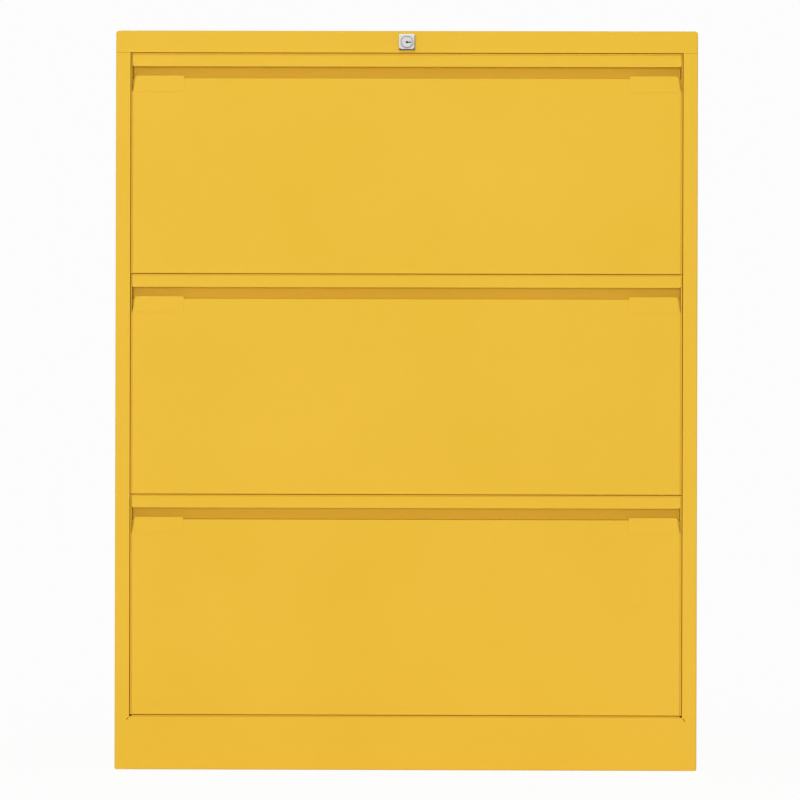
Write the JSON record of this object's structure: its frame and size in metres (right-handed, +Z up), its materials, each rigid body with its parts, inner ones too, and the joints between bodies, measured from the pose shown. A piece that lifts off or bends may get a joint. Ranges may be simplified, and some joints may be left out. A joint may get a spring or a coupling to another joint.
{
  "type": "filing cabinet",
  "caption": "Side filing cabinet in yellow painted sheet steel: flush drawers on ball slides, finger recesses along their tops, and a key lock that bars them all.",
  "frame": {"origin": "on the floor, in the middle of the cabinet's box seen from above", "axes": "+Z up, -Y out of the drawer fronts, +X to the right seen from the front"},
  "size_m": [0.8, 0.475, 1.016],
  "materials": {
    "yellow_paint": "smooth satin powder coat",
    "zinc_steel": "bright zinc plate",
    "cage_steel": "bare rolled steel",
    "lock_metal": "satin nickel",
    "foot_plastic": "moulded, matt"
  },
  "bodies": {
    "carcass": {"top_panel": "yellow_paint", "left_side_panel": "yellow_paint", "right_side_panel": "yellow_paint", "back_panel": "yellow_paint", "base_panel": "yellow_paint", "front_plinth": "yellow_paint", "left_uprights": "yellow_paint", "right_uprights": "yellow_paint", "top_rail": "yellow_paint", "foot_brackets": "zinc_steel", "lock_bezel": "lock_metal", "lock_nut": "zinc_steel", "lock_brackets": "zinc_steel", "slide_1_outer_members": "zinc_steel", "slide_2_outer_members": "zinc_steel", "slide_3_outer_members": "zinc_steel"},
    "drawer_1": {"drawer_1_front": "yellow_paint", "drawer_1_grip_rail": "yellow_paint", "drawer_1_grip_end_plates": "yellow_paint", "drawer_1_base": "yellow_paint", "drawer_1_left_side": "yellow_paint", "drawer_1_right_side": "yellow_paint", "drawer_1_back": "yellow_paint", "drawer_1_file_rails": "zinc_steel", "slide_1_inner_members": "zinc_steel"},
    "slide_1_middle": {"slide_1_middle_members": "zinc_steel"},
    "slide_1_outer_cages": {"slide_1_outer_ball_cages": "cage_steel"},
    "slide_1_inner_cages": {"slide_1_inner_ball_cages": "cage_steel"},
    "drawer_2": {"drawer_2_front": "yellow_paint", "drawer_2_grip_rail": "yellow_paint", "drawer_2_grip_end_plates": "yellow_paint", "drawer_2_base": "yellow_paint", "drawer_2_left_side": "yellow_paint", "drawer_2_right_side": "yellow_paint", "drawer_2_back": "yellow_paint", "drawer_2_file_rails": "zinc_steel", "slide_2_inner_members": "zinc_steel"},
    "slide_2_middle": {"slide_2_middle_members": "zinc_steel"},
    "slide_2_outer_cages": {"slide_2_outer_ball_cages": "cage_steel"},
    "slide_2_inner_cages": {"slide_2_inner_ball_cages": "cage_steel"},
    "drawer_3": {"drawer_3_front": "yellow_paint", "drawer_3_grip_rail": "yellow_paint", "drawer_3_grip_end_plates": "yellow_paint", "drawer_3_base": "yellow_paint", "drawer_3_left_side": "yellow_paint", "drawer_3_right_side": "yellow_paint", "drawer_3_back": "yellow_paint", "drawer_3_file_rails": "zinc_steel", "slide_3_inner_members": "zinc_steel"},
    "slide_3_middle": {"slide_3_middle_members": "zinc_steel"},
    "slide_3_outer_cages": {"slide_3_outer_ball_cages": "cage_steel"},
    "slide_3_inner_cages": {"slide_3_inner_ball_cages": "cage_steel"},
    "lock_cylinder": {"lock_barrel": "lock_metal", "lock_shaft": "zinc_steel", "lock_crank": "zinc_steel"},
    "lock_bar": {"lock_bar": "zinc_steel"},
    "front_left_foot": {"front_left_foot": "foot_plastic"},
    "front_right_foot": {"front_right_foot": "foot_plastic"},
    "rear_left_foot": {"rear_left_foot": "foot_plastic"},
    "rear_right_foot": {"rear_right_foot": "foot_plastic"}
  },
  "joints": [
    {"name": "drawer_1_slide", "type": "slide", "parent": "carcass", "child": "drawer_1", "axis": [0, -1, 0], "range_m": [0, 0.4]},
    {"name": "slide_1_middle_travel", "type": "slide", "parent": "carcass", "child": "slide_1_middle", "axis": [0, -1, 0], "range_m": [0, 0.2]},
    {"name": "slide_1_outer_cage_travel", "type": "slide", "parent": "carcass", "child": "slide_1_outer_cages", "axis": [0, -1, 0], "range_m": [0, 0.1]},
    {"name": "slide_1_inner_cage_travel", "type": "slide", "parent": "carcass", "child": "slide_1_inner_cages", "axis": [0, -1, 0], "range_m": [0, 0.3]},
    {"name": "drawer_2_slide", "type": "slide", "parent": "carcass", "child": "drawer_2", "axis": [0, -1, 0], "range_m": [0, 0.4]},
    {"name": "slide_2_middle_travel", "type": "slide", "parent": "carcass", "child": "slide_2_middle", "axis": [0, -1, 0], "range_m": [0, 0.2]},
    {"name": "slide_2_outer_cage_travel", "type": "slide", "parent": "carcass", "child": "slide_2_outer_cages", "axis": [0, -1, 0], "range_m": [0, 0.1]},
    {"name": "slide_2_inner_cage_travel", "type": "slide", "parent": "carcass", "child": "slide_2_inner_cages", "axis": [0, -1, 0], "range_m": [0, 0.3]},
    {"name": "drawer_3_slide", "type": "slide", "parent": "carcass", "child": "drawer_3", "axis": [0, -1, 0], "range_m": [0, 0.4]},
    {"name": "slide_3_middle_travel", "type": "slide", "parent": "carcass", "child": "slide_3_middle", "axis": [0, -1, 0], "range_m": [0, 0.2]},
    {"name": "slide_3_outer_cage_travel", "type": "slide", "parent": "carcass", "child": "slide_3_outer_cages", "axis": [0, -1, 0], "range_m": [0, 0.1]},
    {"name": "slide_3_inner_cage_travel", "type": "slide", "parent": "carcass", "child": "slide_3_inner_cages", "axis": [0, -1, 0], "range_m": [0, 0.3]},
    {"name": "lock_turn", "type": "hinge", "parent": "carcass", "child": "lock_cylinder", "pos_m": [0, -0.2325, 1], "axis": [0, 1, 0], "range_deg": [0, 90]},
    {"name": "lock_bar_drop", "type": "slide", "parent": "carcass", "child": "lock_bar", "axis": [0, 0, -1], "range_m": [0, 0.0113]},
    {"name": "front_left_foot_screw", "type": "slide", "parent": "carcass", "child": "front_left_foot", "axis": [0, 0, -1], "range_m": [0, 0.015]},
    {"name": "front_right_foot_screw", "type": "slide", "parent": "carcass", "child": "front_right_foot", "axis": [0, 0, -1], "range_m": [0, 0.015]},
    {"name": "rear_left_foot_screw", "type": "slide", "parent": "carcass", "child": "rear_left_foot", "axis": [0, 0, -1], "range_m": [0, 0.015]},
    {"name": "rear_right_foot_screw", "type": "slide", "parent": "carcass", "child": "rear_right_foot", "axis": [0, 0, -1], "range_m": [0, 0.015]}
  ],
  "couplings": [
    {"joint": "slide_1_middle_travel", "follows": "drawer_1_slide", "ratio": 0.5},
    {"joint": "slide_1_outer_cage_travel", "follows": "drawer_1_slide", "ratio": 0.25},
    {"joint": "slide_1_inner_cage_travel", "follows": "drawer_1_slide", "ratio": 0.75},
    {"joint": "slide_2_middle_travel", "follows": "drawer_2_slide", "ratio": 0.5},
    {"joint": "slide_2_outer_cage_travel", "follows": "drawer_2_slide", "ratio": 0.25},
    {"joint": "slide_2_inner_cage_travel", "follows": "drawer_2_slide", "ratio": 0.75},
    {"joint": "slide_3_middle_travel", "follows": "drawer_3_slide", "ratio": 0.5},
    {"joint": "slide_3_outer_cage_travel", "follows": "drawer_3_slide", "ratio": 0.25},
    {"joint": "slide_3_inner_cage_travel", "follows": "drawer_3_slide", "ratio": 0.75},
    {"joint": "lock_turn", "follows": "lock_bar_drop", "rad_per_m": 138.84}
  ]
}
